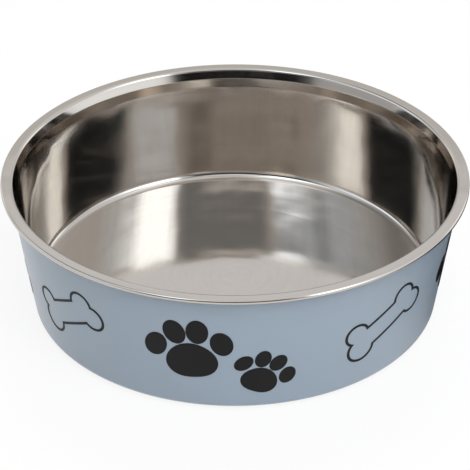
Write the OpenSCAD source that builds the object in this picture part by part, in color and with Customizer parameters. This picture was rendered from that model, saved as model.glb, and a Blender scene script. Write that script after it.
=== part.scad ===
// Round pet bowl: a drawn steel bowl with a rolled rim, bonded into a tapered
// moulded shell that carries printed figures and stands on a rubber ring.
// Origin: centre of the bowl on the table. The front is -Y.

/* [Overall] */
// Outer diameter across the rolled rim
rim_d = 210; // [180:1:300]
// Overall height above the table
height = 65; // [58:1:110]
// Taper of the side walls from upright, in degrees
taper_a = 8.45; // [5:0.05:12]

/* [Steel bowl] */
// Thickness of the drawn sheet
sheet = 0.6; // [0.5:0.05:0.8]
// Width of the flange, from its inner corner to the outside of the hem
flange_w = 5.3; // [4.8:0.1:7]
// Diameter of the rolled hem
hem_d = 2; // [1.9:0.1:2.4]
// Width of the slit between the end of the curl and the flange
curl_slit = 0.5; // [0.3:0.05:0.6]
// Radius of the bend between flange and neck
bend_r = 1.5; // [1.4:0.05:1.7]
// Depth of the steep neck under the flange
neck_h = 4.5; // [4:0.1:6]
// How far the neck draws in over its depth
neck_in = 1.64; // [1.4:0.02:1.8]
// Depth of the collar between the neck and the wall
collar_h = 4; // [3:0.1:6]
// How far below the collar the wall bows out most
bow_drop = 9.5; // [6:0.5:20]
// Height of the flat middle of the steel floor above the table
floor_z = 9.4; // [8:0.1:20]
// Radius of the flat middle of the steel floor
dish_r = 60.5; // [40:0.5:66]
// How far the floor rises from its flat middle to the wall
dish_rise = 0.6; // [0.3:0.1:2]
// Radius between the floor and the wall
floor_corner = 3.5; // [2:0.1:5]

/* [Outer shell] */
// Thickness of the moulded wall
wall = 1.8; // [1.6:0.1:2]
// Thickness of the moulded base
base_t = 2.4; // [2:0.1:3]
// Outside radius of the corner at the foot
foot_corner = 4.2; // [3:0.1:6]
// Width of the flat edge at the mouth that carries the flange
mouth_land = 0.9; // [0.6:0.1:1.2]
// Clearance between the mouth's inner edge and the bend in the steel
mouth_clear = 0.05; // [0.03:0.01:0.1]
// Air gap between the shell and the foot of the steel wall
foot_gap = 0.5; // [0.3:0.1:0.8]
// Air gap between the shell and the steel wall where it bows out most
bow_gap = 0.2; // [0.1:0.05:0.4]
// Air gap between the shell and the lower end of the collar
collar_gap = 0.37; // [0.3:0.01:0.5]
// Thickness of the bond line in the conical seat
bond = 0.3; // [0.2:0.05:0.4]
// Width of the land between the ring groove and the recessed panel
land_w = 5.7; // [3:0.1:12]
// Depth of the recessed panel
panel_dip = 0.7; // [0.3:0.1:1]
// Diameter of the moulding gate mark in the middle of the panel
gate_d = 3; // [2:0.5:5]

/* [Rubber ring] */
// Width of the ring
ring_w = 6; // [4:0.5:7]
// Height of the ring
ring_h = 3.4; // [2.5:0.1:4]
// How far the ring stands below the shell
ring_foot = 1; // [0.6:0.1:1.5]
// Distance from the foot of the shell in to the ring's outer side
ring_inset = 8; // [7:0.5:10]
// Rounding of the ring's lower edges
ring_round = 1; // [0.5:0.1:1.5]
// Play between the ring and each side of its groove
ring_play = 0.3; // [0.2:0.05:0.5]

/* [Printed figures] */
// How many times the three figures repeat around the shell
repeats = 4; // [1:1:4]
// Thickness of the ink film
film = 0.12; // [0.08:0.01:0.2]
// Mean radius of a large paw's main pad
pad_r = 10.4; // [8:0.05:11]
// Distance from the main pad's centre to the toes' centres
toe_reach = 16.8; // [15.6:0.1:17.6]
// Length of a toe
toe_l = 13; // [10:0.1:13.4]
// Width of a toe
toe_w = 9.7; // [8:0.1:9.8]
// Size of the small paw as a share of the large one
small_share = 0.72; // [0.5:0.01:0.8]
// Length of a bone
bone_l = 44; // [36:1:48]
// Width of a bone's shaft
shaft_w = 11.2; // [8:0.1:12]
// Width of the line that draws a bone
line_w = 1.25; // [0.8:0.05:1.6]
// Height of the large paw's main pad above the table
large_paw_z = 27.9; // [24:0.1:30]
// Height of the small paw's main pad above the table
small_paw_z = 17.6; // [16:0.1:28]
// Height of the bone's middle above the table
bone_z = 32.5; // [28:0.1:36]

/* [Hidden] */
// Directions of the three figures, in degrees from the front towards +X
large_paw_angle = -11.1;
small_paw_angle = 6.2;
bone_angle = 41.3;

// Tilts of the three figures, in degrees, positive to the left
large_paw_tilt = 7;
small_paw_tilt = -24;
bone_tilt = 27;

// Toes: directions from the pad's centre and tilts, in degrees from upright
toe_angles = [58.3, 17.2, -17.2, -58.3];
toe_tilts = [-21, 8, -9, 3];

// Form of the main pad: how much wider than high, and how much domed
pad_wide_share = 0.082;
pad_dome_share = 0.039;

// Lobes of a bone: place along, place across and radius, as shares of its length
lobe_shares = [
    [-0.302, 0.138, 0.123],
    [-0.330, -0.070, 0.145],
    [0.318, 0.083, 0.132],
    [0.382, -0.083, 0.132]
];

// Rounds of the whole body, of small corners, and points on an ink outline
$fn = 180;
corner_fn = 48;
ink_points = 40;

// Radii and heights that the pieces share
rim_r = rim_d / 2;
hem_r = hem_d / 2;
corner_r = rim_r - flange_w;
flange_z = height - sheet;
neck_z = height - neck_h;
collar_z = neck_z - collar_h;
overrun = height;

// Neck of the steel bowl: slope, angle and the sheet's thickness along the radius
neck_slope = neck_in / neck_h;
neck_a = atan(neck_slope);
neck_skin = sheet / cos(neck_a);
function neck_r(z) = corner_r - (height - z) * neck_slope;
function neck_out_r(z) = neck_r(z) + neck_skin;
function seat_r(z) = neck_out_r(z) + bond;

// Chamfer at the mouth's inner edge, which starts where the steel's bend runs out
bend_reach = (bend_r - sheet) * tan((90 - neck_a) / 2);
mouth_relief = bend_reach + mouth_clear - bond;

// Taper of the shell's outer face, which the steel wall follows
mouth_r = seat_r(flange_z) + mouth_land;
taper = tan(taper_a);
function shell_r(z) = mouth_r - (flange_z - z) * taper;

// Thickness of the shell's wall and of the steel wall, along the radius
shell_in = wall / cos(taper_a);
wall_skin = sheet / cos(taper_a);

// Outside of the steel where it stands off the shell by gap
function steel_r(z, gap) = shell_r(z) - shell_in - gap;

// Corners of the steel's outside: foot of the wall, bow and lower end of the collar
bow_z = collar_z - bow_drop;
foot_z = floor_z + dish_rise;
foot_r = steel_r(foot_z, foot_gap);
bow_r = steel_r(bow_z, bow_gap);
collar_r = steel_r(collar_z, collar_gap);

// Half way from the flat middle to the wall, where the floor's rise quickens
first_rise_share = 0.25;
half_r = (dish_r + foot_r - wall_skin) / 2;
half_z = floor_z + dish_rise * first_rise_share;

// Where the conical seat runs out into the shell's inner face
seat_z = flange_z - (seat_r(flange_z) - shell_r(flange_z) + shell_in) / (neck_slope - taper);

// Ring and groove
ring_out = shell_r(ring_foot) - ring_inset;
ring_in = ring_out - ring_w;
panel_r = ring_in - ring_play - land_w;

// Angle between one set of figures and the next
sector = 360 / repeats;

// Half section of a tapered body with a rounded foot, between heights low and high,
// its wall carried in by inset
module cup_section(inset, low, high, corner) {
    centre_z = low + corner;
    centre_r = shell_r(centre_z) - inset - corner / cos(taper_a);
    polygon([
        [0, low],
        [centre_r, low],
        [centre_r + corner * cos(taper_a), centre_z - corner * sin(taper_a)],
        [shell_r(high) - inset, high],
        [0, high]
    ]);
    translate([centre_r, centre_z])
        circle(corner, $fn = corner_fn);
}

// Web between two straight faces that leave corner p at angles a and b
module corner_web(p, a, b, rounding) {
    half = (b - a) / 2;
    reach = rounding / tan(half);
    difference() {
        polygon([
            p,
            p + reach * [cos(a), sin(a)],
            p + reach * [cos(b), sin(b)]
        ]);
        translate(p + rounding / sin(half) * [cos(a + half), sin(a + half)])
            circle(rounding, $fn = corner_fn);
    }
}

// Half section of the steel cup up to the collar, carried in by skin and down by drop
module steel_cup(skin, drop, corner) {
    foot = [foot_r - skin, foot_z - drop];
    wall_dir = atan2(bow_z - foot[1], bow_r - skin - foot[0]);
    floor_dir = 180 + atan2(foot[1] + drop - half_z, foot[0] - half_r);
    half = (floor_dir - wall_dir) / 2;
    reach = corner / tan(half);
    polygon([
        [0, floor_z - drop],
        [dish_r, floor_z - drop],
        [half_r, half_z - drop],
        foot + reach * [cos(floor_dir), sin(floor_dir)],
        foot + reach * [cos(wall_dir), sin(wall_dir)],
        [bow_r - skin, bow_z],
        [collar_r - skin, collar_z],
        [0, collar_z]
    ]);
    translate(foot + corner / sin(half) * [cos(wall_dir + half), sin(wall_dir + half)])
        circle(corner, $fn = corner_fn);
}

// Everything inside the outer face of the steel, up to the flange
module steel_outside() {
    steel_cup(0, sheet, floor_corner + sheet);
    polygon([
        [0, collar_z],
        [collar_r, collar_z],
        [neck_out_r(neck_z), neck_z],
        [neck_out_r(flange_z), flange_z],
        [0, flange_z]
    ]);
    translate([0, flange_z])
        square([rim_r - hem_r, sheet]);
    corner_web([neck_out_r(flange_z), flange_z], -90 - neck_a, 0, bend_r - sheet);
}

// The space that the bowl holds, with the rounded edges of its mouth
module steel_inside() {
    steel_cup(wall_skin, 0, floor_corner);
    polygon([
        [0, collar_z],
        [collar_r - wall_skin, collar_z],
        [neck_r(neck_z), neck_z],
        [corner_r, height],
        [corner_r, height + overrun],
        [0, height + overrun]
    ]);
    corner_web([corner_r, height], -90 - neck_a, 0, bend_r);
}

// Curled edge of the flange: an open roll whose end stops short of the flange
module hem_section() {
    difference() {
        translate([rim_r - hem_r, height - hem_r])
            circle(hem_r, $fn = corner_fn);
        translate([rim_r - hem_r, height - hem_r])
            circle(hem_r - sheet, $fn = corner_fn);
        translate([rim_r - hem_d, flange_z - curl_slit])
            square([hem_r, curl_slit]);
    }
}

module steel_bowl() {
    color("silver")
        rotate_extrude()
            union() {
                difference() {
                    steel_outside();
                    steel_inside();
                }
                hem_section();
            }
}

// Half section of the groove that holds the ring, grown by a thickness
module groove_section(grow) {
    translate([ring_in - ring_play - grow, 0])
        square([ring_w + 2 * ring_play + 2 * grow, ring_h + grow]);
}

// Cut that opens the shell's mouth to the conical seat
module seat_section() {
    polygon([
        [0, seat_z],
        [shell_r(seat_z) - shell_in, seat_z],
        [seat_r(flange_z - mouth_relief), flange_z - mouth_relief],
        [seat_r(flange_z) + mouth_relief, flange_z],
        [seat_r(flange_z) + mouth_relief, flange_z + overrun],
        [0, flange_z + overrun]
    ]);
}

module outer_shell() {
    color([0.60, 0.66, 0.72]) {
        rotate_extrude()
            difference() {
                cup_section(0, ring_foot, flange_z, foot_corner);
                difference() {
                    cup_section(shell_in, ring_foot + base_t, flange_z, foot_corner - wall);
                    groove_section(wall);
                }
                seat_section();
                groove_section(0);
                square([panel_r, ring_foot + panel_dip]);
            }
        translate([0, 0, ring_foot + panel_dip / 2])
            cylinder(panel_dip / 2, d = gate_d);
    }
}

// Bond line between the steel neck and the conical seat
module rim_adhesive() {
    low = max(seat_z, neck_z);
    high = flange_z - bend_r + sheet;
    color("ivory")
        rotate_extrude()
            polygon([
                [neck_out_r(low), low],
                [seat_r(low), low],
                [seat_r(high), high],
                [neck_out_r(high), high]
            ]);
}

module anti_slip_ring() {
    color([0.16, 0.16, 0.17])
        rotate_extrude()
            translate([ring_in, 0]) {
                translate([0, ring_round])
                    square([ring_w, ring_h - ring_round]);
                translate([ring_round, 0])
                    square([ring_w - 2 * ring_round, ring_h]);
                translate([ring_round, ring_round])
                    circle(ring_round, $fn = corner_fn);
                translate([ring_w - ring_round, ring_round])
                    circle(ring_round, $fn = corner_fn);
            }
}

// Ink film: an outline carried in along the radius onto the shell's outer face
module printed(angle, z) {
    low = ring_foot + foot_corner;
    color([0.13, 0.13, 0.13])
        intersection() {
            rotate_extrude()
                polygon([
                    [shell_r(low), low],
                    [shell_r(low) + film, low],
                    [shell_r(flange_z) + film, flange_z],
                    [shell_r(flange_z), flange_z]
                ]);
            rotate([0, 0, angle])
                translate([0, 0, z])
                    rotate([90, 0, 0])
                        linear_extrude(rim_d)
                            children();
        }
}

function oval(long, wide) = [
    for (i = [0 : ink_points - 1])
        let (a = 360 * i / ink_points)
            [wide / 2 * cos(a), long / 2 * sin(a)]
];

function pad(mean_r) = [
    for (i = [0 : ink_points - 1])
        let (
            a = 360 * i / ink_points,
            r = mean_r * (1 + pad_wide_share * cos(2 * a) + pad_dome_share * cos(3 * (a - 90)))
        )
            [r * cos(a), r * sin(a)]
];

// Paw print around its main pad's centre, share times the large one's size
module paw(share, tilt) {
    rotate(tilt) {
        polygon(pad(pad_r * share));
        for (i = [0 : len(toe_angles) - 1])
            rotate(toe_angles[i])
                translate([0, toe_reach * share])
                    rotate(toe_tilts[i] - toe_angles[i])
                        polygon(oval(toe_l * share, toe_w * share));
    }
}

// Solid bone, grown all round by half a line or shrunk by it
module bone_form(grow) {
    for (lobe = lobe_shares)
        translate([lobe[0], lobe[1]] * bone_l)
            circle(lobe[2] * bone_l + grow, $fn = corner_fn);
    polygon([
        [lobe_shares[0][0] * bone_l, shaft_w / 2 + grow],
        [lobe_shares[1][0] * bone_l, -shaft_w / 2 - grow],
        [lobe_shares[3][0] * bone_l, -shaft_w / 2 - grow],
        [lobe_shares[2][0] * bone_l, shaft_w / 2 + grow]
    ]);
}

module bone_outline() {
    rotate(bone_tilt)
        difference() {
            bone_form(line_w / 2);
            bone_form(-line_w / 2);
        }
}

module large_paw_print(i) {
    printed(large_paw_angle + i * sector, large_paw_z)
        paw(1, large_paw_tilt);
}

module small_paw_print(i) {
    printed(small_paw_angle + i * sector, small_paw_z)
        paw(small_share, small_paw_tilt);
}

module bone_print(i) {
    printed(bone_angle + i * sector, bone_z)
        bone_outline();
}

steel_bowl();
outer_shell();
rim_adhesive();
anti_slip_ring();
for (i = [1 : repeats]) {
    large_paw_print(i - 1);
    small_paw_print(i - 1);
    bone_print(i - 1);
}
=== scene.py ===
"""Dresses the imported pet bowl: steel liner, printed shell, rubber ring and a plain studio."""

import math
from typing import NamedTuple

import bpy
from bpy.props import (
    FloatProperty,
    FloatVectorProperty,
    IntProperty,
    PointerProperty,
)
from mathutils import Matrix, Vector

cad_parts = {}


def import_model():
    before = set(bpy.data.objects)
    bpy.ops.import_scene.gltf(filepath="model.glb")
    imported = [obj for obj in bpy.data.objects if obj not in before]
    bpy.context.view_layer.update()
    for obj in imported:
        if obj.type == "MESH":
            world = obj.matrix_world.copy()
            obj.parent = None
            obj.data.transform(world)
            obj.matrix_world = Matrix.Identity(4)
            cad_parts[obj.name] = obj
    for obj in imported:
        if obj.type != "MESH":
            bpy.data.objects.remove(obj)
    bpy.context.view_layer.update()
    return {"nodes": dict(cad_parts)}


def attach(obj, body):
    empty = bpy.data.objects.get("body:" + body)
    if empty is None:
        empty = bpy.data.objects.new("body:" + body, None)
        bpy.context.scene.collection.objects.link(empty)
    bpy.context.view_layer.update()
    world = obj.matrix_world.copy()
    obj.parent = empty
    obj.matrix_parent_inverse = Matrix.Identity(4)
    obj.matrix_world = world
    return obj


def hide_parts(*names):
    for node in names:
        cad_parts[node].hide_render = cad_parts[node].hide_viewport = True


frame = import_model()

bl_info = {
    "name": "Lined pet bowl",
    "version": (1, 0, 0),
    "blender": (4, 5, 0),
    "location": "3D View > Sidebar > Pet bowl",
    "description": "Builds the steel liner, the printed shell, the rubber ring and the studio",
    "category": "Object",
}

BOWL_BODY = "bowl"
RING_BODY = "ring"

# Sections of the turned pieces, in metres
AXIS = 0.0
SWEEP_R = 0.05
GUARD = 0.00012
SOFT_EDGE = 0.00025
DISH_ROUND = 0.01
RISE_ROUND = 0.3

# Heights over which the draw lines on the steel wall fade in, from the foot and from the collar
WALL_FROM = (0.0105, 0.0135)
WALL_TO = (0.0585, 0.056)

# How far the steel and the shell stray from their colour, as a share, and from their roughness
STEEL_TONE = 0.08
SHELL_TONE = 0.03
ROUGH_SWING = 0.03
NEAR_AXIS = 0.0005

# Sockets of the Mix node when it mixes colours
MIX_FACTOR, MIX_A, MIX_B, MIX_RESULT = 0, 6, 7, 2

# Camera film and reach
FILM_WIDTH = 36.0
CLIP_END = 100.0

# Paper: share of plain white where it is seen, and its sheet
WHITE = (1, 1, 1, 1)
SEEN_SHARE = 0.87
FLOOR_R = 12.0
FLOOR_STEPS = (64, 8)

# Even light of the surroundings on matt faces, and the two lamps
MATT_LIGHT = 0.36
LAMP_AWAY = 2.0
FRONT_SIDE = (0.25, -0.7, 1.0)
BACK_SIDE = (0.0, 0.8, 1.0)
BACK_SHARE = 0.5

# Light tent: its own UV map, its faces across and up, and the rise in degrees over which a
# leaning patch shifts by its whole lean
BEARING = "Bearing"
TENT_STEPS = (96, 24)
LEAN_OVER = 60.0

# Card of painted shadow that only glossy faces see: radii, bearings in degrees, height, faces,
# and the share of its length over which its glow goes from the first level to the second
SHADOW_CARD_R = (0.0885, 0.45)
SHADOW_CARD_AZIMUTH = (42, 172)
SHADOW_CARD_Z = 0.0004
SHADOW_CARD_STEPS = 24
SHADOW_CARD_FADE = 0.36
# Glow of the painted shadow at the card's two ends: white, then nearly black
SHADOW_CARD_LEVELS = (0.95, 0.01)


# Settings


def length(name, description, default):
    """A length in metres that the sidebar shows in the scene's unit."""
    return FloatProperty(
        name=name,
        description=description,
        default=default,
        min=0.0,
        precision=5,
        unit="LENGTH",
    )


def colour(name, description, default):
    """A linear surface colour."""
    return FloatVectorProperty(
        name=name,
        description=description,
        default=default,
        subtype="COLOR",
        size=3,
        min=0.0,
        max=1.0,
    )


def share(name, description, default, top=1.0):
    """A number between nothing and top."""
    return FloatProperty(
        name=name, description=description, default=default, min=0.0, max=top
    )


def degrees(name, description, default):
    """An angle, given in degrees and kept in radians."""
    return FloatProperty(
        name=name,
        description=description,
        default=math.radians(default),
        subtype="ANGLE",
        unit="ROTATION",
    )


class BowlSizes(bpy.types.PropertyGroup):
    """Sizes of the steel liner and the taper that the shell shares."""

    rim_d: length("Rim", "Outer diameter across the rolled rim", 0.210)
    height: length("Height", "Overall height above the table", 0.065)
    taper: degrees("Taper", "Taper of the side walls from upright", 8.45)
    sheet: length("Sheet", "Thickness of the drawn sheet", 0.0006)
    flange_w: length(
        "Flange", "From the flange's inner corner to the hem's outside", 0.0053
    )
    hem_d: length("Hem", "Diameter of the rolled hem", 0.002)
    curl_slit: length(
        "Curl slit", "Slit between the end of the curl and the flange", 0.0005
    )
    bend_r: length("Bend", "Radius of the bend between flange and neck", 0.0015)
    neck_h: length("Neck depth", "Depth of the steep neck under the flange", 0.0045)
    neck_in: length(
        "Neck draw", "How far the neck draws in over its depth", 0.00164
    )
    collar_h: length("Collar", "Depth of the collar between neck and wall", 0.004)
    crease_r: length(
        "Crease rounding", "Radius of the soft creases beside the collar", 0.003
    )
    bow_drop: length("Bow", "How far below the collar the wall bows out most", 0.0095)
    bow_r: length("Bow rounding", "Radius of the bow in the wall", 0.6)
    floor_z: length("Floor", "Height of the flat steel floor above the table", 0.0094)
    dish_r: length("Dish", "Radius of the flat middle of the floor", 0.0605)
    dish_rise: length("Dish rise", "Rise of the floor from its flat middle", 0.0006)
    first_rise: share("First rise", "Share of the rise in the inner half", 0.25)
    floor_corner: length(
        "Floor corner", "Radius between the floor and the wall", 0.0035
    )
    segments: IntProperty(
        name="Segments",
        description="Faces round the turned pieces",
        default=256,
        min=48,
        max=512,
    )


class ShellSizes(bpy.types.PropertyGroup):
    """Sizes of the moulded shell."""

    wall: length("Wall", "Thickness of the moulded wall", 0.0018)
    base_t: length("Base", "Thickness of the moulded base", 0.0024)
    foot_corner: length("Foot corner", "Outside radius at the foot", 0.0042)
    mouth_land: length(
        "Mouth land", "Width of the flat edge that carries the flange", 0.0009
    )
    mouth_clear: length(
        "Mouth clearance", "Clearance between the mouth's inner edge and the bend", 0.00005
    )
    mouth_round: length("Mouth rounding", "Softened outer edge of the mouth", 0.0002)
    foot_gap: length("Foot gap", "Air between the shell and the steel wall's foot", 0.0005)
    bow_gap: length("Bow gap", "Air between the shell and the bow in the steel", 0.0002)
    collar_gap: length("Collar gap", "Air between the shell and the collar's foot", 0.00037)
    bond: length("Bond line", "Thickness of the bond in the conical seat", 0.0003)
    land_w: length(
        "Land", "Width of the land between ring groove and panel", 0.0057
    )
    panel_dip: length("Panel dip", "Depth of the recessed panel", 0.0007)
    gate_d: length("Gate mark", "Diameter of the moulding gate mark", 0.003)


class RingSizes(bpy.types.PropertyGroup):
    """Sizes of the rubber ring."""

    width: length("Width", "Width of the ring", 0.006)
    height: length("Height", "Height of the ring", 0.0034)
    foot: length("Foot", "How far the ring stands below the shell", 0.001)
    inset: length("Inset", "From the shell's foot in to the ring", 0.008)
    rounding: length("Rounding", "Rounding of the ring's lower edges", 0.001)
    play: length("Play", "Play between the ring and each side of its groove", 0.0003)


class Finishes(bpy.types.PropertyGroup):
    """Colours and gloss of the five finishes."""

    steel: colour("Steel", "Polished steel, slightly warm", (0.565, 0.522, 0.48))
    steel_rough: share("Steel roughness", "Mean roughness of the polish", 0.07)
    steel_brush: share("Steel brushing", "How much the polish lines stretch", 0.5)
    steel_waver: length("Steel waver", "Depth of the slow waves in the drawn wall", 0.0002)
    shell: colour("Shell", "Blue-grey moulded plastic", (0.27, 0.336, 0.407))
    shell_rough: share("Shell roughness", "Roughness of the moulded face", 0.34)
    ink: colour("Ink", "Printed figures", (0.0055, 0.0055, 0.0057))
    rubber: colour("Rubber", "Ring under the foot", (0.022, 0.022, 0.024))
    bond: colour("Bond", "Set adhesive under the flange", (0.62, 0.60, 0.54))


class Studio(bpy.types.PropertyGroup):
    """Camera, floor, light tent and lamps."""

    lens: FloatProperty(
        name="Lens",
        description="Focal length on a 36 mm sensor",
        default=169.15,
        min=10.0,
        subtype="DISTANCE_CAMERA",
    )
    distance: length("Distance", "From the camera to the point it looks at", 1.00863)
    look_z: length("Look height", "Height of the point the camera looks at", 0.03167)
    elevation: degrees("Elevation", "Height of the camera over the table", 31.936)
    roll: degrees("Roll", "Small turn of the camera about its own line", -0.133)
    tent_r: length("Tent", "Radius of the light tent round the bowl", 6.0)
    tent_level: share("Tent level", "Brightness of the whole tent", 1.0, 4.0)
    lamp_power: FloatProperty(
        name="Front lamp",
        description="Power of the soft lamp in front, which lights the matt faces",
        default=31.0,
        min=0.0,
        unit="POWER",
    )
    lamp_size: length("Lamp size", "Side of each square lamp", 1.2)
    paper: colour("Paper", "Floor and backdrop", (0.86, 0.86, 0.86))


def settings():
    """The settings that the sidebar shows."""
    return bpy.context.scene.pet_bowl


class BowlSettings(bpy.types.PropertyGroup):
    """Everything that a user would change."""

    bowl: PointerProperty(type=BowlSizes)
    shell: PointerProperty(type=ShellSizes)
    ring: PointerProperty(type=RingSizes)
    finish: PointerProperty(type=Finishes)
    studio: PointerProperty(type=Studio)


# Profiles


class Outline:
    """Radii and heights that the turned pieces share, all in metres."""

    def __init__(self):
        s = settings()
        b, sh, rg = s.bowl, s.shell, s.ring
        self.rim_r = b.rim_d / 2
        self.hem_r = b.hem_d / 2
        self.corner_r = self.rim_r - b.flange_w
        self.top = b.height
        self.flange_z = b.height - b.sheet
        self.neck_z = b.height - b.neck_h
        self.collar_z = self.neck_z - b.collar_h
        self.neck_slope = b.neck_in / b.neck_h
        self.neck_skin = b.sheet / math.cos(math.atan(self.neck_slope))
        self.bond = sh.bond
        neck_turn = math.pi / 2 - math.atan(self.neck_slope)
        bend_reach = (b.bend_r - b.sheet) * math.tan(neck_turn / 2)
        self.relief = bend_reach + sh.mouth_clear - sh.bond
        self.mouth_r = self.seat(self.flange_z) + sh.mouth_land
        self.slope = math.tan(b.taper)
        self.shell_in = sh.wall / math.cos(b.taper)
        self.wall_skin = b.sheet / math.cos(b.taper)
        self.seat_z = self.flange_z - (
            self.seat(self.flange_z) - self.shell(self.flange_z) + self.shell_in
        ) / (self.neck_slope - self.slope)
        self.ring_out = self.shell(rg.foot) - rg.inset
        self.ring_in = self.ring_out - rg.width
        self.panel_r = self.ring_in - rg.play - sh.land_w

    def neck(self, z):
        """Inner face of the steel neck."""
        return self.corner_r - (self.top - z) * self.neck_slope

    def seat(self, z):
        """Conical seat in the shell's mouth."""
        return self.neck(z) + self.neck_skin + self.bond

    def shell(self, z):
        """Outer face of the shell."""
        return self.mouth_r - (self.flange_z - z) * self.slope

    def steel(self, z, gap):
        """Outside of the steel wall where it stands off the shell by gap."""
        return self.shell(z) - self.shell_in - gap


def arc(centre, radius, start, end, steps):
    """Points on an arc, angles in degrees from the radius direction towards up."""
    turns = [math.radians(start + (end - start) * i / steps) for i in range(steps + 1)]
    return [
        (centre[0] + radius * math.cos(a), centre[1] + radius * math.sin(a)) for a in turns
    ]


def rounded(corners, steps):
    """A line through corners (r, z, rounding), with guard points beside each corner."""
    points = []
    last = len(corners) - 1
    for i, (r, z, rounding) in enumerate(corners):
        here = Vector((r, z))
        if rounding == 0 or i in (0, last):
            if i > 0:
                before = Vector(corners[i - 1][:2])
                points.append(tuple(here + (before - here).normalized() * GUARD))
            points.append(tuple(here))
            if i < last:
                after = Vector(corners[i + 1][:2])
                points.append(tuple(here + (after - here).normalized() * GUARD))
            continue
        back = (Vector(corners[i - 1][:2]) - here).normalized()
        on = (Vector(corners[i + 1][:2]) - here).normalized()
        half = back.angle(on) / 2
        reach = rounding / math.tan(half)
        centre = here + (back + on).normalized() * rounding / math.sin(half)
        first = here + back * reach - centre
        turn = -first.angle_signed(here + on * reach - centre)
        start = math.degrees(math.atan2(first.y, first.x))
        points.append(tuple(here + back * (reach + GUARD)))
        points += arc(centre, rounding, start, start + math.degrees(turn), steps)
        points.append(tuple(here + on * (reach + GUARD)))
    return points


def liner_line(o):
    """Section of the steel liner: up the inside, over the curled hem, down the outside."""
    b, sh = settings().bowl, settings().shell
    hem = (o.rim_r - o.hem_r, o.top - o.hem_r)
    inner = o.hem_r - b.sheet
    slit_z = o.flange_z - b.curl_slit
    out_end = 180 + math.degrees(math.asin((hem[1] - slit_z) / o.hem_r))
    in_end = 180 + math.degrees(math.asin((hem[1] - slit_z) / inner))
    bow_z = o.collar_z - b.bow_drop
    foot_z = b.floor_z + b.dish_rise
    foot_r = o.steel(foot_z, sh.foot_gap)
    half_r = (b.dish_r + foot_r - o.wall_skin) / 2
    half_z = b.floor_z + b.dish_rise * b.first_rise
    bow_r = o.steel(bow_z, sh.bow_gap)
    collar_r = o.steel(o.collar_z, sh.collar_gap)
    inside = rounded(
        [
            (AXIS, b.floor_z, 0),
            (b.dish_r, b.floor_z, DISH_ROUND),
            (half_r, half_z, RISE_ROUND),
            (foot_r - o.wall_skin, foot_z, b.floor_corner),
            (bow_r - o.wall_skin, bow_z, b.bow_r),
            (collar_r - o.wall_skin, o.collar_z, b.crease_r * 2),
            (o.neck(o.neck_z), o.neck_z, b.crease_r),
            (o.corner_r, o.top, b.bend_r),
            (hem[0], o.top, 0),
        ],
        steps=12,
    )
    curl = arc(hem, o.hem_r, 90, out_end - 360, steps=36)[1:]
    roll = arc(hem, inner, in_end - 360, 90, steps=24)
    bend_out_r = o.corner_r - b.sheet * o.neck_slope + o.neck_skin
    outside = rounded(
        [
            (hem[0], o.flange_z, 0),
            (bend_out_r, o.flange_z, b.bend_r - b.sheet),
            (o.neck(o.neck_z) + o.neck_skin, o.neck_z, b.crease_r / 3),
            (collar_r, o.collar_z, b.crease_r),
            (bow_r, bow_z, b.bow_r),
            (foot_r, foot_z - b.sheet, b.floor_corner + b.sheet),
            (half_r, half_z - b.sheet, RISE_ROUND),
            (b.dish_r, b.floor_z - b.sheet, DISH_ROUND),
            (AXIS, b.floor_z - b.sheet, 0),
        ],
        steps=8,
    )
    return inside + curl + roll[:-1] + outside


def shell_line(o):
    """Section of the moulded shell: underside, outside, mouth, then down the inside."""
    s = settings()
    sh, rg = s.shell, s.ring
    groove_in = o.ring_in - rg.play
    groove_out = o.ring_out + rg.play
    low = rg.foot
    dip = low + sh.panel_dip
    top = low + sh.base_t
    hump = rg.height + sh.wall
    gate_z = low + sh.panel_dip / 2
    return rounded(
        [
            (AXIS, gate_z, 0),
            (sh.gate_d / 2, gate_z, SOFT_EDGE),
            (sh.gate_d / 2, dip, 0),
            (o.panel_r, dip, SOFT_EDGE),
            (o.panel_r, low, SOFT_EDGE),
            (groove_in, low, SOFT_EDGE),
            (groove_in, rg.height, 0),
            (groove_out, rg.height, 0),
            (groove_out, low, SOFT_EDGE),
            (o.shell(low), low, sh.foot_corner),
            (o.shell(o.flange_z), o.flange_z, sh.mouth_round),
            (o.seat(o.flange_z) + o.relief, o.flange_z, 0),
            (o.seat(o.flange_z - o.relief), o.flange_z - o.relief, 0),
            (o.seat(o.seat_z), o.seat_z, 0),
            (o.shell(top) - o.shell_in, top, sh.foot_corner - sh.wall),
            (groove_out + sh.wall, top, 0),
            (groove_out + sh.wall, hump, SOFT_EDGE),
            (groove_in - sh.wall, hump, SOFT_EDGE),
            (groove_in - sh.wall, top, 0),
            (AXIS, top, 0),
        ],
        steps=14,
    )


def ring_line(o):
    """Section of the rubber ring, once round."""
    rg = settings().ring
    soft = rg.rounding / 4
    line = rounded(
        [
            (o.ring_in + rg.width / 2, 0, 0),
            (o.ring_out, 0, rg.rounding),
            (o.ring_out, rg.height, soft),
            (o.ring_in, rg.height, soft),
            (o.ring_in, 0, rg.rounding),
            (o.ring_in + rg.width / 2, 0, 0),
        ],
        steps=8,
    )
    return line[:-1]


# Node helpers


def add(tree, kind, inputs=None, **values):
    """A node with its settings, and its inputs linked or set."""
    n = tree.nodes.new(kind)
    for key, value in values.items():
        setattr(n, key, value)
    for key, value in (inputs or {}).items():
        put(tree, n.inputs[key], value)
    return n


def put(tree, socket, value):
    """Links a socket to value, or sets it."""
    if isinstance(value, bpy.types.NodeSocket):
        tree.links.new(value, socket)
    else:
        socket.default_value = value


def sums(tree, kind, *terms, **values):
    """A Math node's result."""
    n = tree.nodes.new("ShaderNodeMath")
    n.operation = kind
    for key, value in values.items():
        setattr(n, key, value)
    for socket, value in zip(n.inputs, terms):
        put(tree, socket, value)
    return n.outputs[0]


def socket(tree, name, in_out, kind, default=None, low=None):
    """A named socket on a group."""
    s = tree.interface.new_socket(name=name, in_out=in_out, socket_type=kind)
    if default is not None:
        s.default_value = default
    if low is not None:
        s.min_value = low
    return s


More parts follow.
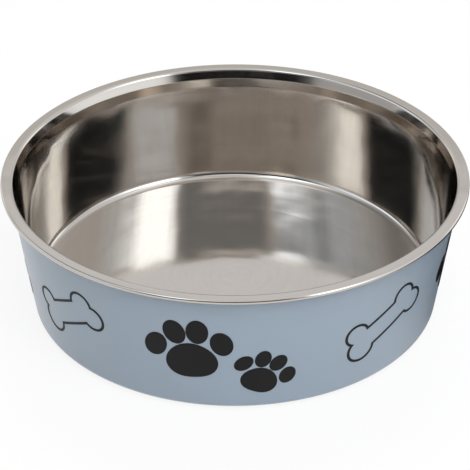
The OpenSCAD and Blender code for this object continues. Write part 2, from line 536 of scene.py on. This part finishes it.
def turning_tree():
    """Geometry Nodes: sweeps a section, drawn in the XZ plane, round the Z axis."""
    name = "Turn round the axis"
    if name in bpy.data.node_groups:
        return bpy.data.node_groups[name]
    t = bpy.data.node_groups.new(name, "GeometryNodeTree")
    socket(t, "Section", "INPUT", "NodeSocketGeometry")
    socket(t, "Sweep radius", "INPUT", "NodeSocketFloat", SWEEP_R, 0.001)
    socket(t, "Segments", "INPUT", "NodeSocketInt", 256, 3)
    socket(t, "Weld distance", "INPUT", "NodeSocketFloat", 1e-6, 0.0)
    socket(t, "Material", "INPUT", "NodeSocketMaterial")
    socket(t, "Turned piece", "OUTPUT", "NodeSocketGeometry")
    given = add(t, "NodeGroupInput")
    inward = sums(t, "MULTIPLY", given.outputs["Sweep radius"], -1.0)
    offset = add(t, "ShaderNodeCombineXYZ", {"X": inward})
    laid = add(
        t,
        "GeometryNodeTransform",
        {
            "Geometry": given.outputs["Section"],
            "Translation": offset.outputs[0],
        },
    )
    tipped = add(
        t,
        "GeometryNodeTransform",
        {"Geometry": laid.outputs[0], "Rotation": (math.pi / 2, 0, 0)},
    )
    section = add(t, "GeometryNodeMeshToCurve", {"Mesh": tipped.outputs[0]})
    path = add(
        t,
        "GeometryNodeCurvePrimitiveCircle",
        {
            "Resolution": given.outputs["Segments"],
            "Radius": given.outputs["Sweep radius"],
        },
    )
    swept = add(
        t,
        "GeometryNodeCurveToMesh",
        {"Curve": path.outputs[0], "Profile Curve": section.outputs[0]},
    )
    welded = add(
        t,
        "GeometryNodeMergeByDistance",
        {
            "Geometry": swept.outputs[0],
            "Distance": given.outputs["Weld distance"],
        },
    )
    smooth = add(
        t,
        "GeometryNodeSetShadeSmooth",
        {"Geometry": welded.outputs[0], "Shade Smooth": True},
    )
    real = add(
        t, "GeometryNodeRealizeInstances", {"Geometry": smooth.outputs[0]}
    )
    done = add(
        t,
        "GeometryNodeSetMaterial",
        {"Geometry": real.outputs[0], "Material": given.outputs["Material"]},
    )
    add(t, "NodeGroupOutput", {"Turned piece": done.outputs[0]})
    return t


def turned(name, line, closed, finish):
    """A plain mesh object made by sweeping the section line round the axis."""
    count = len(line)
    edges = [(i, i + 1) for i in range(count - 1)]
    if closed:
        edges.append((count - 1, 0))
    flat = bpy.data.meshes.new(name + "_section")
    flat.from_pydata([(r, 0, z) for r, z in line], edges, [])
    source = bpy.data.objects.new(name + "_section", flat)
    bpy.context.scene.collection.objects.link(source)
    modifier = source.modifiers.new("Turn", "NODES")
    modifier.node_group = turning_tree()
    given = {
        "Sweep radius": SWEEP_R,
        "Segments": settings().bowl.segments,
        "Material": finish,
    }
    for item in modifier.node_group.interface.items_tree:
        if item.item_type == "SOCKET" and item.name in given:
            modifier[item.identifier] = given[item.name]
    graph = bpy.context.evaluated_depsgraph_get()
    mesh = bpy.data.meshes.new_from_object(source.evaluated_get(graph))
    source.modifiers.remove(modifier)
    bpy.data.objects.remove(source)
    mesh.name = name
    piece = bpy.data.objects.new(name, mesh)
    bpy.context.scene.collection.objects.link(piece)
    if volume(mesh) < 0:
        mesh.flip_normals()
    return piece


def volume(mesh):
    """Signed volume: negative when the faces point inwards."""
    mesh.calc_loop_triangles()
    co = [v.co for v in mesh.vertices]
    corners = (triangle.vertices for triangle in mesh.loop_triangles)
    return sum(co[a].dot(co[b].cross(co[c])) for a, b, c in corners)


# Shader groups


def shader_group(name, inputs, outputs):
    """A new shader group with its sockets, all plain values."""
    t = bpy.data.node_groups.new(name, "ShaderNodeTree")
    for key, default in inputs:
        socket(t, key, "INPUT", "NodeSocketFloat", default)
    for key in outputs:
        socket(t, key, "OUTPUT", "NodeSocketFloat")
    return t


def turned_lines():
    """Fine lines that run round the axis, as spinning, polishing and trimming leave them."""
    name = "Turned lines"
    if name in bpy.data.node_groups:
        return bpy.data.node_groups[name]
    t = shader_group(
        name, [("Spacing", 0.001), ("Stretch", 3.0), ("Detail", 3.0)], ["Height"]
    )
    given = add(t, "NodeGroupInput")
    place = add(t, "ShaderNodeTexCoord")
    parts = add(t, "ShaderNodeSeparateXYZ", {0: place.outputs["Object"]})
    x, y, z = parts.outputs
    r = sums(
        t,
        "SQRT",
        sums(t, "ADD", sums(t, "MULTIPLY", x, x), sums(t, "MULTIPLY", y, y)),
    )
    along = sums(t, "DIVIDE", sums(t, "ADD", r, z), given.outputs["Spacing"])
    safe = sums(t, "MAXIMUM", r, NEAR_AXIS)
    c = sums(t, "MULTIPLY", sums(t, "DIVIDE", x, safe), given.outputs["Stretch"])
    s = sums(t, "MULTIPLY", sums(t, "DIVIDE", y, safe), given.outputs["Stretch"])
    at = add(t, "ShaderNodeCombineXYZ", {"X": along, "Y": c, "Z": s})
    noise = add(
        t,
        "ShaderNodeTexNoise",
        {
            "Vector": at.outputs[0],
            "Scale": 1.0,
            "Detail": given.outputs["Detail"],
            "Roughness": 0.55,
        },
    )
    add(t, "NodeGroupOutput", {"Height": noise.outputs[0]})
    return t


def soft_marks():
    """Cloudy marks such as wiping and handling leave."""
    name = "Soft marks"
    if name in bpy.data.node_groups:
        return bpy.data.node_groups[name]
    t = shader_group(
        name, [("Size", 0.03), ("Low", 0.4), ("High", 0.65)], ["Mask"]
    )
    given = add(t, "NodeGroupInput")
    place = add(t, "ShaderNodeTexCoord")
    scale = sums(t, "DIVIDE", 1.0, given.outputs["Size"])
    noise = add(
        t,
        "ShaderNodeTexNoise",
        {
            "Vector": place.outputs["Object"],
            "Scale": scale,
            "Detail": 5.0,
            "Roughness": 0.6,
            "Distortion": 0.6,
        },
    )
    mask = add(
        t,
        "ShaderNodeMapRange",
        {
            "Value": noise.outputs[0],
            "From Min": given.outputs["Low"],
            "From Max": given.outputs["High"],
        },
        interpolation_type="SMOOTHSTEP",
    )
    add(t, "NodeGroupOutput", {"Mask": mask.outputs[0]})
    return t


def fine_grain():
    """Tiny unevenness of a moulded or printed face."""
    name = "Fine grain"
    if name in bpy.data.node_groups:
        return bpy.data.node_groups[name]
    t = shader_group(name, [("Size", 0.001), ("Detail", 2.0)], ["Height"])
    given = add(t, "NodeGroupInput")
    place = add(t, "ShaderNodeTexCoord")
    scale = sums(t, "DIVIDE", 1.0, given.outputs["Size"])
    noise = add(
        t,
        "ShaderNodeTexNoise",
        {
            "Vector": place.outputs["Object"],
            "Scale": scale,
            "Detail": given.outputs["Detail"],
            "Roughness": 0.5,
        },
    )
    add(t, "NodeGroupOutput", {"Height": noise.outputs[0]})
    return t


def use(tree, group, **inputs):
    """A group node, with input names in plain words and _ for a space."""
    n = tree.nodes.new("ShaderNodeGroup")
    n.node_tree = group
    for key, value in inputs.items():
        put(tree, n.inputs[key.replace("_", " ")], value)
    return n.outputs[0]


def empty(name):
    """A node material with nothing in it but its output, and the socket for its surface."""
    m = bpy.data.materials.new(name)
    m.use_nodes = True
    t = m.node_tree
    t.nodes.clear()
    out = t.nodes.new("ShaderNodeOutputMaterial")
    return m, t, out.inputs["Surface"]


def blank(name):
    """A node material with its Principled shader linked up and still to be set."""
    m, t, surface = empty(name)
    shader = t.nodes.new("ShaderNodeBsdfPrincipled")
    t.links.new(shader.outputs[0], surface)
    return m, t, shader


def blend_colour(tree, factor, a, b):
    """Colour between a and b."""
    n = tree.nodes.new("ShaderNodeMix")
    n.data_type = "RGBA"
    put(tree, n.inputs[MIX_FACTOR], factor)
    for socket_number, given in ((MIX_A, a), (MIX_B, b)):
        linked = isinstance(given, bpy.types.NodeSocket)
        put(tree, n.inputs[socket_number], given if linked else (*given, 1))
    return n.outputs[MIX_RESULT]


def spread(tree, value, low, high):
    """Maps 0..1 to low..high."""
    n = add(tree, "ShaderNodeMapRange", {"Value": value, "To Min": low, "To Max": high})
    return n.outputs[0]


def bump(tree, height, depth, under=None):
    """A Bump node's normal, at full strength, over the normal of a bump under it."""
    n = add(tree, "ShaderNodeBump", {"Height": height, "Distance": depth, "Strength": 1.0})
    if under is not None:
        put(tree, n.inputs["Normal"], under)
    return n.outputs[0]


def times(colour_value, factor):
    """A colour made lighter or darker."""
    return tuple(min(1.0, c * factor) for c in colour_value)


# Finishes


def steel_finish():
    """Polished drawn steel: slow waves, fine turned lines, and upright lines on the wall."""
    f = settings().finish
    m, t, shader = blank("polished_drawn_steel")
    waver = use(t, fine_grain(), Size=0.023, Detail=1.0)
    coarse = use(t, turned_lines(), Spacing=0.0022, Stretch=1.2, Detail=2.0)
    fine = use(t, turned_lines(), Spacing=0.0004, Stretch=5.0, Detail=3.0)
    upright = use(t, turned_lines(), Spacing=0.03, Stretch=58.0, Detail=2.0)
    marks = use(t, soft_marks(), Size=0.022, Low=0.42, High=0.7)
    place = add(t, "ShaderNodeTexCoord")
    height = add(t, "ShaderNodeSeparateXYZ", {0: place.outputs["Object"]}).outputs[2]
    ends = [
        add(
            t,
            "ShaderNodeMapRange",
            {"Value": height, "From Min": none, "From Max": full},
            interpolation_type="SMOOTHSTEP",
        ).outputs[0]
        for none, full in (WALL_FROM, WALL_TO)
    ]
    wall = sums(t, "MULTIPLY", *ends)
    drawn = sums(t, "MULTIPLY", sums(t, "SUBTRACT", upright, 0.5), wall)
    both = sums(t, "ADD", sums(t, "MULTIPLY", coarse, 0.6), sums(t, "MULTIPLY", fine, 0.4))
    tone = sums(t, "ADD", both, drawn, use_clamp=True)
    dark, light = times(f.steel, 1 - STEEL_TONE), times(f.steel, 1 + STEEL_TONE)
    put(t, shader.inputs["Base Color"], blend_colour(t, tone, dark, light))
    shader.inputs["Metallic"].default_value = 1.0
    rough = sums(
        t,
        "ADD",
        spread(t, fine, f.steel_rough - ROUGH_SWING, f.steel_rough + ROUGH_SWING),
        spread(t, marks, low=0.0, high=0.03),
    )
    put(t, shader.inputs["Roughness"], rough)
    shader.inputs["Anisotropic"].default_value = f.steel_brush
    tangent = add(t, "ShaderNodeTangent", direction_type="RADIAL", axis="Z")
    put(t, shader.inputs["Tangent"], tangent.outputs[0])
    slow = bump(t, waver, depth=f.steel_waver)
    uneven = bump(t, coarse, depth=0.000002, under=slow)
    put(t, shader.inputs["Normal"], bump(t, fine, depth=0.0000005, under=uneven))
    return m


def shell_finish():
    """Satin-gloss blue-grey plastic with a faint moulded unevenness."""
    f = settings().finish
    m, t, shader = blank("satin_shell_plastic")
    grain = use(t, fine_grain(), Size=0.0011, Detail=2.0)
    waves = use(t, fine_grain(), Size=0.02, Detail=1.0)
    marks = use(t, soft_marks(), Size=0.03, Low=0.45, High=0.75)
    dark, light = times(f.shell, 1 - SHELL_TONE), times(f.shell, 1 + SHELL_TONE)
    tint = blend_colour(t, waves, dark, light)
    put(t, shader.inputs["Base Color"], tint)
    rough = sums(
        t,
        "ADD",
        spread(t, grain, f.shell_rough - ROUGH_SWING, f.shell_rough + ROUGH_SWING),
        spread(t, marks, low=0.0, high=0.05),
    )
    put(t, shader.inputs["Roughness"], rough)
    shader.inputs["Coat Weight"].default_value = 0.25
    shader.inputs["Coat Roughness"].default_value = 0.18
    slow = bump(t, waves, depth=0.00006)
    put(t, shader.inputs["Normal"], bump(t, grain, depth=0.000004, under=slow))
    return m


def ink_finish():
    """Printed black ink: a thin even film, a little duller than the shell."""
    f = settings().finish
    m, t, shader = blank("printed_ink")
    grain = use(t, fine_grain(), Size=0.0004, Detail=3.0)
    marks = use(t, soft_marks(), Size=0.012, Low=0.4, High=0.8)
    tint = blend_colour(t, marks, f.ink, times(f.ink, 1.35))
    put(t, shader.inputs["Base Color"], tint)
    put(t, shader.inputs["Roughness"], spread(t, grain, low=0.38, high=0.5))
    shader.inputs["Specular IOR Level"].default_value = 0.15
    put(t, shader.inputs["Normal"], bump(t, grain, depth=0.000003))
    return m


def rubber_finish():
    """Moulded rubber with a fine grain and pale dust in it."""
    f = settings().finish
    m, t, shader = blank("moulded_rubber")
    grain = use(t, fine_grain(), Size=0.0005, Detail=4.0)
    lines = use(t, turned_lines(), Spacing=0.0009, Stretch=2.0, Detail=2.0)
    dust = use(t, soft_marks(), Size=0.01, Low=0.5, High=0.85)
    dusty = sums(t, "MULTIPLY", dust, 0.5)
    tint = blend_colour(t, dusty, f.rubber, times(f.rubber, 2.4))
    put(t, shader.inputs["Base Color"], tint)
    put(t, shader.inputs["Roughness"], spread(t, grain, low=0.62, high=0.8))
    turned_bump = bump(t, lines, depth=0.000012)
    put(t, shader.inputs["Normal"], bump(t, grain, depth=0.00001, under=turned_bump))
    return m


def bond_finish():
    """Set adhesive, milky and uneven."""
    f = settings().finish
    m, t, shader = blank("set_adhesive")
    grain = use(t, fine_grain(), Size=0.0012, Detail=3.0)
    marks = use(t, soft_marks(), Size=0.006, Low=0.35, High=0.7)
    tint = blend_colour(t, marks, f.bond, times(f.bond, 0.88))
    put(t, shader.inputs["Base Color"], tint)
    put(t, shader.inputs["Roughness"], spread(t, grain, low=0.4, high=0.6))
    put(t, shader.inputs["Normal"], bump(t, grain, depth=0.00003))
    return m


# Pieces


def settle(piece, body, node):
    """Puts a finished piece on its body in place of its CAD node."""
    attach(piece, body)
    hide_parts(node)


class PETBOWL_OT_liner(bpy.types.Operator):
    """Turn the drawn steel liner with its curled hem"""

    bl_idname = "petbowl.liner"
    bl_label = "Steel liner"

    def execute(self, context):
        piece = turned("steel_liner", liner_line(Outline()), False, steel_finish())
        settle(piece, BOWL_BODY, "steel_bowl")
        return {"FINISHED"}


class PETBOWL_OT_shell(bpy.types.Operator):
    """Turn the moulded shell with its ring groove and recessed panel"""

    bl_idname = "petbowl.shell"
    bl_label = "Moulded shell"

    def execute(self, context):
        piece = turned("moulded_shell", shell_line(Outline()), False, shell_finish())
        settle(piece, BOWL_BODY, "outer_shell")
        return {"FINISHED"}


class PETBOWL_OT_ring(bpy.types.Operator):
    """Turn the rubber ring under the foot"""

    bl_idname = "petbowl.ring"
    bl_label = "Rubber ring"

    def execute(self, context):
        piece = turned("rubber_ring", ring_line(Outline()), True, rubber_finish())
        settle(piece, RING_BODY, "anti_slip_ring")
        return {"FINISHED"}


class PETBOWL_OT_prints(bpy.types.Operator):
    """Finish the printed paws and bones and the bond line"""

    bl_idname = "petbowl.prints"
    bl_label = "Prints and bond"

    def execute(self, context):
        ink = ink_finish()
        bond = bond_finish()
        for name, node in frame["nodes"].items():
            if "_print_" in name:
                dress(node, ink)
            elif name == "rim_adhesive":
                dress(node, bond)
        return {"FINISHED"}


def dress(node, finish):
    """Gives a CAD node its finish."""
    node.data.materials.clear()
    node.data.materials.append(finish)


# Studio


class Patch(NamedTuple):
    """A soft-edged part of the tent. Its angles are in degrees.

    across and up are its reach from the front towards +X and from the floor, sides and ends
    are the softness of those edges, and lean is how far its upper part shifts to +X.
    """

    name: str
    across: tuple
    sides: tuple
    up: tuple
    ends: tuple
    level: float
    tint: tuple
    lean: float = 0.0


# Tints of the patches, and the glow between them
PLAIN = (0.97, 1.0, 1.03)
COOL = (0.89, 1.0, 1.09)
BLUE = (0.86, 1.0, 1.16)
WARM = (1.0, 1.0, 0.98)
DEEP = (0.76, 1.0, 1.13)
SOFT = (0.93, 1.0, 1.08)
TENT_BASE = (0.89, 0.91, 0.93)
PATCHES = (
    Patch("low left", (-150, -85), (15, 15), (16, 26), (8, 3), 0.95, PLAIN),
    Patch("back band left", (-190, -157), (5, 8), (4, 16), (3, 3), 0.32, PLAIN),
    Patch("back band right", (160, 190), (8, 5), (4, 16), (3, 3), 0.32, PLAIN),
    Patch("back wall left", (-190, -158), (5, 8), (20, 30.8), (4, 0.8), 0.72, WARM),
    Patch("back wall right", (118, 190), (8, 5), (20, 30.8), (4, 0.8), 0.72, WARM),
    Patch("wall streak", (-155, -130), (8, 8), (24, 37), (3, 3), 0.5, WARM),
    Patch("thin streak", (112, 122), (5, 5), (24, 30.8), (3, 0.8), 0.6, WARM),
    Patch("collar light left", (-152, -136), (5, 6), (19, 27.5), (1.5, 1.5), 1.5, WARM),
    Patch("collar light right", (116, 142), (6, 8), (19, 27.5), (1.5, 1.5), 2.4, WARM),
    Patch("low far left", (-92, -44), (6, 6), (-5, 12), (1, 2), 0.56, PLAIN),
    Patch("dim left", (-166, -106), (14, 22), (39, 66), (3, 5), 0.4, PLAIN),
    Patch("high left", (-140, -60), (15, 15), (72, 86), (4, 4), 1.15, PLAIN),
    Patch("left shoulder", (-102, -36), (18, 8), (37, 46), (2, 3), 0.75, BLUE),
    Patch("upper shoulder", (-88, -28), (16, 6), (45, 51.5), (2, 1.5), 1.0, BLUE),
    Patch("shoulder gap", (-65, -54), (4, 4), (44, 51), (2, 1.5), 0.68, BLUE),
    Patch("lower shoulder", (-58, -30), (8, 6), (30, 43), (4, 3), 0.35, DEEP),
    Patch("left window", (-70, -28), (20, 7), (51.5, 77), (2, 5), 2.4, COOL),
    Patch("window sill", (-47, -28), (6, 5), (51, 55), (1.5, 2), 3.3, BLUE),
    Patch("fill", (-116, -66), (9, 14), (28, 35.5), (4, 1.5), 2.0, BLUE),
    Patch("front dark", (-48, 27), (9, 5), (27, 46), (3, 3), 0.025, DEEP),
    Patch("front low", (-44, 33), (8, 7), (-9, 27), (1, 3), 0.22, PLAIN),
    Patch("front low patch", (-37, -15), (6, 6), (18.5, 26.5), (3, 3), 0.75, PLAIN),
    Patch("front stripe", (-38, 31), (7, 6), (10.3, 14.2), (1.2, 0.8), 0.01, WARM),
    Patch("front brow", (-22, 39), (6, 7), (46, 61), (2.5, 2.5), 0.4, SOFT),
    Patch("brow light", (-21, 24), (6, 6), (52.2, 60), (0.8, 3), 1.15, PLAIN),
    Patch("front crown", (-28, 4), (12, 12), (61, 71), (3, 3), 1.25, WARM),
    Patch("front top", (-22, 44), (8, 8), (73, 90), (3, 1), 0.6, WARM),
    Patch("right crown", (68, 122), (14, 16), (59, 74), (4, 3), 1.65, PLAIN),
    Patch("right low", (37, 96), (7, 16), (-9, 28), (1, 3), 1.3, PLAIN),
    Patch("window halo", (36, 88), (6, 14), (25, 57.5), (3, 3), 1.2, COOL, 38),
    Patch("window edge", (37, 75), (5, 9), (26.5, 57), (3, 3), 2.2, COOL, 38),
    Patch("window", (38, 64), (5, 7), (28, 54.5), (2, 2.5), 3.7, COOL, 38),
    Patch("window corner", (72, 106), (5, 10), (49, 60), (1.5, 2), 0.95, PLAIN),
)


def soft_patch():
    """A patch of the tent with soft edges, as a mask."""
    name = "Soft patch"
    if name in bpy.data.node_groups:
        return bpy.data.node_groups[name]
    t = shader_group(
        name,
        [
            ("Azimuth", 0.0),
            ("Elevation", 0.0),
            ("Left", -10.0),
            ("Right", 10.0),
            ("Left edge", 2.0),
            ("Right edge", 2.0),
            ("Low", 20.0),
            ("High", 40.0),
            ("Low edge", 2.0),
            ("High edge", 2.0),
            ("Lean", 0.0),
        ],
        ["Mask"],
    )
    given = add(t, "NodeGroupInput").outputs
    above = sums(t, "SUBTRACT", given["Elevation"], given["Low"])
    rise = sums(t, "DIVIDE", above, LEAN_OVER)
    shift = sums(t, "MULTIPLY", sums(t, "MULTIPLY", rise, rise), given["Lean"])
    across = sums(t, "SUBTRACT", given["Azimuth"], shift)
    sides = []
    for value, at, edge, inside in (
        (across, "Left", "Left edge", 1.0),
        (across, "Right", "Right edge", 0.0),
        (given["Elevation"], "Low", "Low edge", 1.0),
        (given["Elevation"], "High", "High edge", 0.0),
    ):
        step = add(
            t,
            "ShaderNodeMapRange",
            {
                "Value": value,
                "From Min": sums(t, "SUBTRACT", given[at], given[edge]),
                "From Max": sums(t, "ADD", given[at], given[edge]),
                "To Min": 1.0 - inside,
                "To Max": inside,
            },
            interpolation_type="SMOOTHSTEP",
        )
        sides.append(step.outputs[0])
    mask = sums(
        t,
        "MULTIPLY",
        sums(t, "MULTIPLY", sides[0], sides[1]),
        sums(t, "MULTIPLY", sides[2], sides[3]),
    )
    add(t, "NodeGroupOutput", {"Mask": mask})
    return t


def tent_finish():
    """The tent's glow: soft patches laid one after another over an even base."""
    m, t, surface = empty("tent_glow")
    place = add(t, "ShaderNodeUVMap", uv_map=BEARING)
    parts = add(t, "ShaderNodeSeparateXYZ", {0: place.outputs[0]})
    azimuth = spread(t, parts.outputs[0], low=-180.0, high=180.0)
    elevation = spread(t, parts.outputs[1], low=0.0, high=90.0)
    glow = TENT_BASE
    for p in PATCHES:
        mask = use(
            t,
            soft_patch(),
            Azimuth=azimuth,
            Elevation=elevation,
            Left=p.across[0],
            Right=p.across[1],
            Left_edge=p.sides[0],
            Right_edge=p.sides[1],
            Low=p.up[0],
            High=p.up[1],
            Low_edge=p.ends[0],
            High_edge=p.ends[1],
            Lean=p.lean,
        )
        mask.node.label = p.name
        glow = blend_colour(t, mask, glow, tuple(p.level * c for c in p.tint))
    level = settings().studio.tent_level
    light = add(t, "ShaderNodeEmission", {"Color": glow, "Strength": level})
    t.links.new(light.outputs[0], surface)
    return m


def tent():
    """A round light tent over the bowl that polished and glossy faces mirror."""
    radius = settings().studio.tent_r
    across, up = TENT_STEPS
    co, faces = [], []
    for j in range(up + 1):
        e = math.pi / 2 * j / up
        for i in range(across + 1):
            a = math.pi * (2 * i / across - 1)
            level_r = radius * math.cos(e)
            co.append((level_r * math.sin(a), -level_r * math.cos(a), radius * math.sin(e)))
    row = across + 1
    for j in range(up):
        for i in range(across):
            k = j * row + i
            faces.append((k, k + row, k + row + 1, k + 1))
    mesh = bpy.data.meshes.new("light_tent")
    mesh.from_pydata(co, [], faces)
    uv = mesh.uv_layers.new(name=BEARING)
    for loop in mesh.loops:
        i, j = loop.vertex_index % row, loop.vertex_index // row
        uv.data[loop.index].uv = (i / across, j / up)
    mesh.materials.append(tent_finish())
    o = bpy.data.objects.new("light_tent", mesh)
    o.visible_camera = False
    o.visible_diffuse = False
    bpy.context.scene.collection.objects.link(o)


def seen_rays(tree):
    """1 where the camera sees, or a glossy or clear face shows, what the ray meets."""
    rays = add(tree, "ShaderNodeLightPath").outputs
    shown = sums(tree, "MAXIMUM", rays["Is Glossy Ray"], rays["Is Transmission Ray"])
    return sums(tree, "MAXIMUM", rays["Is Camera Ray"], shown)


def paper_finish():
    """White paper that keeps the shadow and shows as white to the camera and in metal."""
    s = settings().studio
    m, t, surface = empty("white_paper")
    matt = add(t, "ShaderNodeBsdfDiffuse", {"Color": (*s.paper, 1)})
    light = add(t, "ShaderNodeEmission", {"Color": WHITE, "Strength": 1.0})
    mix = add(
        t,
        "ShaderNodeMixShader",
        {
            0: sums(t, "MULTIPLY", seen_rays(t), SEEN_SHARE),
            1: matt.outputs[0],
            2: light.outputs[0],
        },
    )
    t.links.new(mix.outputs[0], surface)
    return m


def floor():
    """A wide round sheet of paper under the bowl."""
    segments, rings = FLOOR_STEPS
    mesh = bpy.data.meshes.new("paper_floor")
    co = [(0, 0, 0)]
    for j in range(1, rings + 1):
        r = FLOOR_R * (j / rings) ** 2
        for i in range(segments):
            a = 2 * math.pi * i / segments
            co.append((r * math.cos(a), r * math.sin(a), 0))
    faces = [(0, 1 + i, 1 + (i + 1) % segments) for i in range(segments)]
    for j in range(1, rings):
        for i in range(segments):
            a = 1 + (j - 1) * segments + i
            b = 1 + (j - 1) * segments + (i + 1) % segments
            faces.append((a, a + segments, b + segments, b))
    mesh.from_pydata(co, [], faces)
    mesh.materials.append(paper_finish())
    o = bpy.data.objects.new("paper_floor", mesh)
    bpy.context.scene.collection.objects.link(o)


def lamp(name, power, side):
    """A big soft lamp over the table that shines on matt faces and is not mirrored."""
    data = bpy.data.lights.new(name, "AREA")
    data.size = settings().studio.lamp_size
    data.energy = power
    o = bpy.data.objects.new(name, data)
    place = Vector(side).normalized() * LAMP_AWAY
    aim = place.to_track_quat("Z", "Y").to_matrix().to_4x4()
    o.matrix_world = Matrix.Translation(place) @ aim
    o.visible_glossy = False
    bpy.context.scene.collection.objects.link(o)


def painted_shadow_card():
    """A card on the floor at the right that only glossy faces see. It paints a shadow on the
    floor into their reflections, white at its front end and fading to black towards the back.
    """
    inner, outer = SHADOW_CARD_R
    first, last = SHADOW_CARD_AZIMUTH
    steps = SHADOW_CARD_STEPS
    co = []
    for i in range(steps + 1):
        a = math.radians(first + (last - first) * i / steps)
        co += [(r * math.sin(a), -r * math.cos(a), SHADOW_CARD_Z) for r in (inner, outer)]
    faces = [(2 * i, 2 * i + 1, 2 * i + 3, 2 * i + 2) for i in range(steps)]
    mesh = bpy.data.meshes.new("painted_shadow_card")
    mesh.from_pydata(co, [], faces)
    uv = mesh.uv_layers.new(name=BEARING)
    for loop in mesh.loops:
        i, j = divmod(loop.vertex_index, 2)
        uv.data[loop.index].uv = (i / steps, j)
    m, t, surface = empty("painted_shadow_glow")
    place = add(t, "ShaderNodeUVMap", uv_map=BEARING)
    parts = add(t, "ShaderNodeSeparateXYZ", {0: place.outputs[0]})
    level = add(
        t,
        "ShaderNodeMapRange",
        {
            "Value": parts.outputs[0],
            "From Max": SHADOW_CARD_FADE,
            "To Min": SHADOW_CARD_LEVELS[0],
            "To Max": SHADOW_CARD_LEVELS[1],
        },
        interpolation_type="SMOOTHSTEP",
    )
    # Painted shadow: this glow fades from white to black and stands in for shade on the floor
    # that the shell and hem mirror
    light = add(t, "ShaderNodeEmission", {"Strength": level.outputs[0]})
    t.links.new(light.outputs[0], surface)
    mesh.materials.append(m)
    o = bpy.data.objects.new("painted_shadow_card", mesh)
    o.visible_camera = False
    o.visible_diffuse = False
    o.visible_shadow = False
    bpy.context.scene.collection.objects.link(o)


def camera():
    """The photograph's camera."""
    s = settings().studio
    target = Vector((0, 0, s.look_z))
    offset = Vector((0, -math.cos(s.elevation), math.sin(s.elevation))) * s.distance
    data = bpy.data.cameras.new("camera")
    data.lens = s.lens
    data.sensor_width = FILM_WIDTH
    data.clip_end = CLIP_END
    o = bpy.data.objects.new("camera", data)
    aim = (-offset).to_track_quat("-Z", "Y").to_matrix().to_4x4()
    o.matrix_world = (
        Matrix.Translation(target + offset) @ aim @ Matrix.Rotation(s.roll, 4, "Z")
    )
    bpy.context.scene.collection.objects.link(o)
    bpy.context.scene.camera = o


def world():
    """White surroundings where they are seen, and a plain level of light on matt faces."""
    w = bpy.data.worlds.new("white_surroundings")
    w.use_nodes = True
    t = w.node_tree
    ground = t.nodes["Background"]
    ground.inputs["Color"].default_value = WHITE
    level = spread(t, seen_rays(t), low=MATT_LIGHT, high=1.0)
    put(t, ground.inputs["Strength"], level)
    bpy.context.scene.world = w


class PETBOWL_OT_studio(bpy.types.Operator):
    """Set up the camera, the paper floor, the light tent, the card of painted shadow and the
    lamps
    """

    bl_idname = "petbowl.studio"
    bl_label = "Studio"

    def execute(self, context):
        context.scene.view_settings.view_transform = "Standard"
        camera()
        world()
        floor()
        tent()
        painted_shadow_card()
        s = settings().studio
        lamp("front_lamp", s.lamp_power, FRONT_SIDE)
        lamp("back_lamp", s.lamp_power * BACK_SHARE, BACK_SIDE)
        return {"FINISHED"}


class PETBOWL_PT_tools(bpy.types.Panel):
    """Pieces and sizes of the pet bowl"""

    bl_label = "Pet bowl"
    bl_idname = "PETBOWL_PT_tools"
    bl_space_type = "VIEW_3D"
    bl_region_type = "UI"
    bl_category = "Pet bowl"

    def draw(self, context):
        for operator in STEPS:
            self.layout.operator(operator.bl_idname)
        s = context.scene.pet_bowl
        for group in (s.bowl, s.shell, s.ring, s.finish, s.studio):
            box = self.layout.box()
            for key in group.__annotations__:
                box.prop(group, key)


STEPS = (
    PETBOWL_OT_studio,
    PETBOWL_OT_liner,
    PETBOWL_OT_shell,
    PETBOWL_OT_ring,
    PETBOWL_OT_prints,
)

CLASSES = (
    BowlSizes,
    ShellSizes,
    RingSizes,
    Finishes,
    Studio,
    BowlSettings,
    *STEPS,
    PETBOWL_PT_tools,
)


def register():
    for c in CLASSES:
        bpy.utils.register_class(c)
    bpy.types.Scene.pet_bowl = PointerProperty(type=BowlSettings)


def unregister():
    del bpy.types.Scene.pet_bowl
    for c in reversed(CLASSES):
        bpy.utils.unregister_class(c)


def main():
    """Builds everything."""
    register()
    bpy.ops.petbowl.studio()
    bpy.ops.petbowl.liner()
    bpy.ops.petbowl.shell()
    bpy.ops.petbowl.ring()
    bpy.ops.petbowl.prints()


if __name__ == "__main__":
    main()
